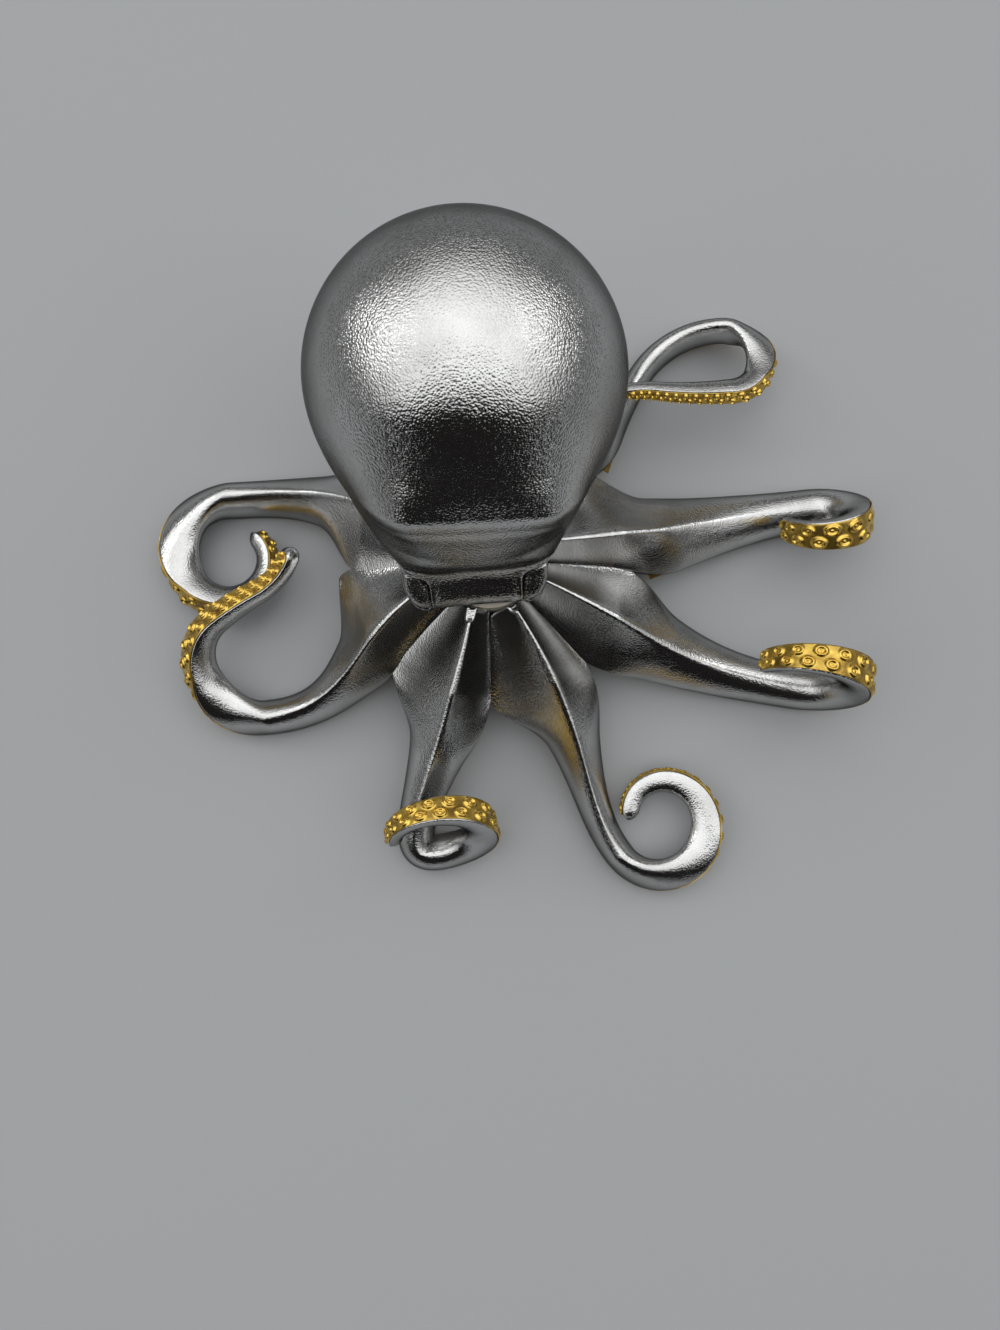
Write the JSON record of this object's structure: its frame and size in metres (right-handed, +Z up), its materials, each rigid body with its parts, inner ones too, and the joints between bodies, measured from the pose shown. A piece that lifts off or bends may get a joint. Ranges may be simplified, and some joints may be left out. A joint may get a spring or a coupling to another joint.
{
  "type": "octopus figurine",
  "caption": "Tabletop octopus ornament with a leaning bulb head and curling arms, silver leafed with gilt sucker strips, standing on felt pads.",
  "frame": {"origin": "middle of the footprint's bounding box, on the surface that the felt pads stand on", "axes": "+Z up, -Y towards the face, +X to the right of someone who looks at the face from the front"},
  "size_m": [0.2804, 0.2476, 0.1484],
  "materials": {
    "silver_leaf": "cast resin with burnished silver leaf",
    "gilt": "antique gold paint with a dark wash",
    "raw_resin": "bare cast resin",
    "steel": "cut dowel",
    "plug": "matt",
    "felt": "pressed felt"
  },
  "bodies": {
    "root": {"mantle_shell": "silver_leaf", "hub_core": "raw_resin", "neck_dowel": "steel", "base_plug": "plug", "arm_pins": "steel", "felt_pads": "felt", "arm_front_left": "silver_leaf", "arm_front_right": "silver_leaf", "arm_right_lower": "silver_leaf", "arm_right_upper": "silver_leaf", "arm_back_right": "silver_leaf", "arm_back": "silver_leaf", "arm_left_upper": "silver_leaf", "arm_left_lower": "silver_leaf", "suckers_front_left": "gilt", "suckers_front_right": "gilt", "suckers_right_lower": "gilt", "suckers_right_upper": "gilt", "suckers_back_right": "gilt", "suckers_back": "gilt", "suckers_left_upper": "gilt", "suckers_left_lower": "gilt"}
  },
  "joints": []
}
